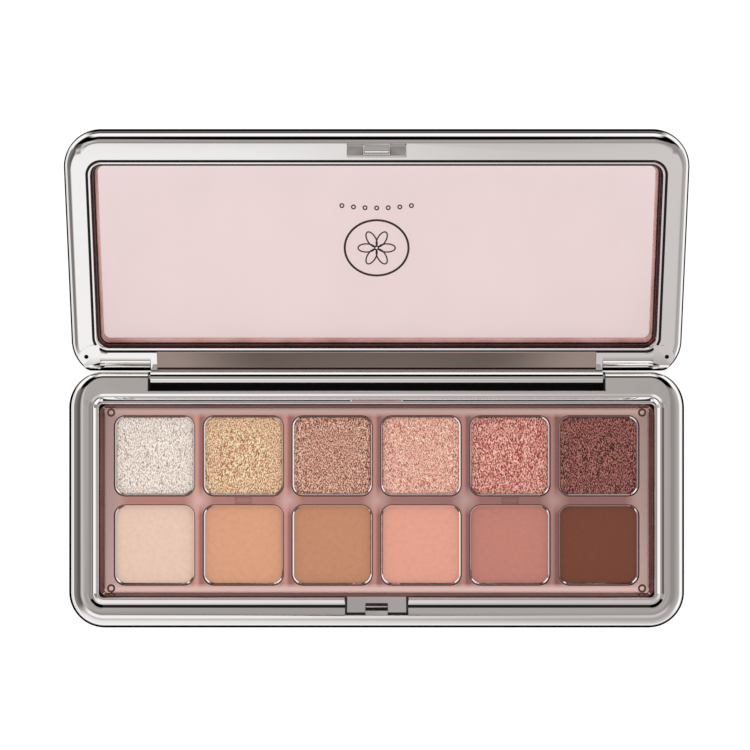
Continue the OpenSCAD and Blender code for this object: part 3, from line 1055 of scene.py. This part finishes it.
def make_powders():
    """The shimmers in the back row and the mattes in the front row."""
    for i, (name, dark, mid, bright, grain, spread, metal) in enumerate(SHIMMERS, 1):
        material = shimmer_powder(name, rgb(*dark), rgb(*mid), rgb(*bright), grain, spread, metal)
        crown = 0.35 if name in ("pearl", "coarse_rose") else 0.12
        make_powder(i, material, crown, 0.3)
    for i, (name, color) in enumerate(MATTES, COLUMNS + 1):
        make_powder(i, matte(name, rgb(*color)), 0.03, 0.14)


# ---------------------------------------------------------------- stage


def make_floor():
    """A plain white light table, so that hardly a shadow shows. Mirror rays pass it by."""
    bm = bmesh.new()
    add_box(bm, (-3000, -3000, -2), (3000, 3000, -0.005))
    floor = link("floor", bm, smooth=False)
    n = Nodes("floor", Roughness=0.95, Specular_IOR_Level=0.0)
    n.set(Emission_Color=(1, 1, 1, 1), Emission_Strength=0.8)
    n.link(n.ramp(n.noise(30, 2), [(0.0, grey(0.29)), (1.0, grey(0.31))]), n.shader.inputs["Base Color"])
    assign(floor, n.material)
    floor.visible_glossy = False


# What a mirror sees: brightness against the sine of the elevation, for each side of the studio.
STUDIO = {
    "left": [(-0.4, 0), (-0.34, 1), (-0.3, 0.95), (-0.14, 0.7), (0.02, 0.95), (0.09, 0.95), (0.15, 0.3),
             (0.21, 0.26), (0.38, 0.22), (0.52, 0.18), (0.64, 0.144), (0.76, 0.095), (0.85, 0.14),
             (0.91, 0.53), (0.965, 0.6), (0.99, 0.4)],
    "right": [(-0.5, 0), (-0.4, 0.7), (-0.28, 1), (0.08, 0.95), (0.15, 0.6), (0.29, 0.46), (0.45, 0.42),
              (0.59, 0.38), (0.71, 0.33), (0.81, 0.29), (0.95, 0.28), (0.985, 0.37), (0.995, 0.42)],
    "front_left": [(-0.5, 0), (-0.42, 0.3), (-0.34, 0.8), (-0.2, 1), (0.0, 0.86), (0.34, 0.84), (0.5, 0.64),
                   (0.62, 0.56), (0.74, 0.93), (0.88, 0.9), (0.915, 0.34), (0.95, 0.27), (0.99, 0.36)],
    "front_right": [(-0.5, 0), (-0.42, 0.3), (-0.34, 0.84), (-0.2, 0.84), (0.0, 0.58), (0.17, 0.52),
                    (0.34, 0.44), (0.5, 0.4), (0.66, 0.4), (0.8, 0.58), (0.88, 0.62), (0.915, 0.4),
                    (0.95, 0.3), (0.99, 0.4)],
    "back": [(-0.35, 0), (-0.1, 0.2), (0.0, 0.3), (0.05, 0.03), (0.22, 0.03), (0.29, 0.95), (0.5, 1),
             (0.7, 0.95), (0.78, 0.05), (0.84, 0), (0.98, 0), (0.996, 0.3), (1.0, 0.45)],
    "corner": [(-0.6, 0), (-0.45, 0.7), (-0.2, 1), (0.25, 1), (0.38, 0.05), (0.5, 0), (0.94, 0),
               (0.98, 0.35)],
}


def warm(v):
    """Greys a little warm, white neutral."""
    return (v, v * (0.88 + 0.12 * v), v * (0.84 + 0.16 * v), 1)


def make_world():
    """A soft white studio; mirrors see cards, a grey patch overhead and darkness underneath."""
    world = bpy.data.worlds.new("studio")
    bpy.context.scene.world = world
    world.use_nodes = True
    world.node_tree.nodes.clear()
    t = Tree(world.node_tree)
    split = t.add("ShaderNodeSeparateXYZ")
    t.link(t.add("ShaderNodeTexCoord").outputs["Generated"], split.inputs[0])
    x, y, z = split.outputs

    # The ray's direction: its height as 0 to 1, and how far it points ahead and aside.
    height = t.math("MULTIPLY_ADD", z, 0.5, 0.5)
    level = t.math("SQRT", t.math("ADD", t.math("MULTIPLY", x, x), t.math("MULTIPLY", y, y)))
    level = t.math("MAXIMUM", level, 0.0001)
    ahead = t.math("DIVIDE", y, level)
    aside = t.math("DIVIDE", x, level)

    seen = {}
    for name, stops in STUDIO.items():
        seen[name] = t.ramp(height, [(sine * 0.5 + 0.5, warm(value)) for sine, value in stops])
    sides = t.mix(t.smooth(aside, -0.3, 0.3), seen["left"], seen["right"])
    front = t.mix(t.smooth(aside, -0.16, 0.2), seen["front_left"], seen["front_right"])
    colour = t.mix(t.smooth(t.math("MULTIPLY", ahead, -1.0), 0.45, 0.8), sides, front)
    colour = t.mix(t.smooth(ahead, 0.3, 0.45), colour, seen["corner"])
    colour = t.mix(t.smooth(ahead, 0.82, 0.95), colour, seen["back"])

    mirrored = t.add("ShaderNodeBackground")
    t.link(colour, mirrored.inputs["Color"])
    plain = t.add("ShaderNodeBackground", Color=(1, 1, 1, 1), Strength=1.25)
    shader = t.add("ShaderNodeMixShader")
    t.link(t.add("ShaderNodeLightPath").outputs["Is Glossy Ray"], shader.inputs[0])
    t.link(plain.outputs[0], shader.inputs[1])
    t.link(mirrored.outputs[0], shader.inputs[2])
    t.link(shader.outputs[0], t.add("ShaderNodeOutputWorld").inputs["Surface"])


def make_camera():
    """Straight down over the hinge."""
    middle_x, middle_y, above_band = -0.37, 28.4, 459
    camera = bpy.data.cameras.new("camera")
    camera.sensor_width = 36.0
    camera.lens = 97.5
    obj = bpy.data.objects.new("camera", camera)
    obj.location = (middle_x * MM, middle_y * MM, (BAND_Z + above_band) * MM)
    bpy.context.scene.collection.objects.link(obj)
    bpy.context.scene.camera = obj


def main():
    make_base_shell()
    make_lid_frame()
    make_window()
    make_ornament()
    make_tray()
    for i in range(1, PANS + 1):
        make_pan(i)
    make_powders()
    for name in ("base_cover", "hinge_pin_left", "hinge_pin_right", "pan_adhesive"):
        node = frame["nodes"][name]
        assign(node, PLATED if name == "base_cover" else STEEL)
    make_floor()
    make_world()
    make_camera()
    bpy.context.scene.view_settings.view_transform = "Standard"


main()
